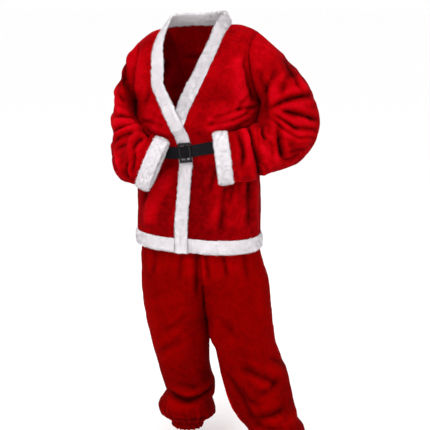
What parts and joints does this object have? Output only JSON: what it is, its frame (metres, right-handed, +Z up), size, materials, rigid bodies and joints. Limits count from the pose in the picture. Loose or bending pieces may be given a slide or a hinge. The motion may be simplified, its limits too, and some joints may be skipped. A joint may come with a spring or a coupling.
{
  "type": "santa suit",
  "caption": "Red plush wrap jacket with white fur bands and cuffs, a black buckled belt and red plush trousers, held in a worn, standing pose.",
  "frame": {"origin": "at the base of the neck, between the shoulders of the wearer who holds the suit up, 1.44 m above the floor", "axes": "+Z up, the suit faces -Y, +X is the wearer's left side; the chest is turned 15 degrees to the wearer's right"},
  "size_m": [0.697, 0.5395, 1.4556],
  "materials": {
    "red_plush": "short crushed pile, bright red",
    "red_trouser_plush": "short pile, deep red",
    "white_fur": "dense fluffy pile, white",
    "black_webbing": "woven strap, matt black",
    "black_plastic": "moulded, satin black"
  },
  "bodies": {
    "root": {"jacket_front_left": "red_plush", "jacket_front_right": "red_plush", "jacket_back": "red_plush", "sleeve_left": "red_plush", "sleeve_right": "red_plush", "front_band_left": "white_fur", "front_band_right": "white_fur", "hem_band": "white_fur", "cuff_left": "white_fur", "cuff_right": "white_fur", "belt_strap": "black_webbing", "buckle": "black_plastic", "trouser_front_left": "red_trouser_plush", "trouser_back_left": "red_trouser_plush", "trouser_front_right": "red_trouser_plush", "trouser_back_right": "red_trouser_plush", "trouser_waistband": "red_trouser_plush"}
  },
  "joints": []
}
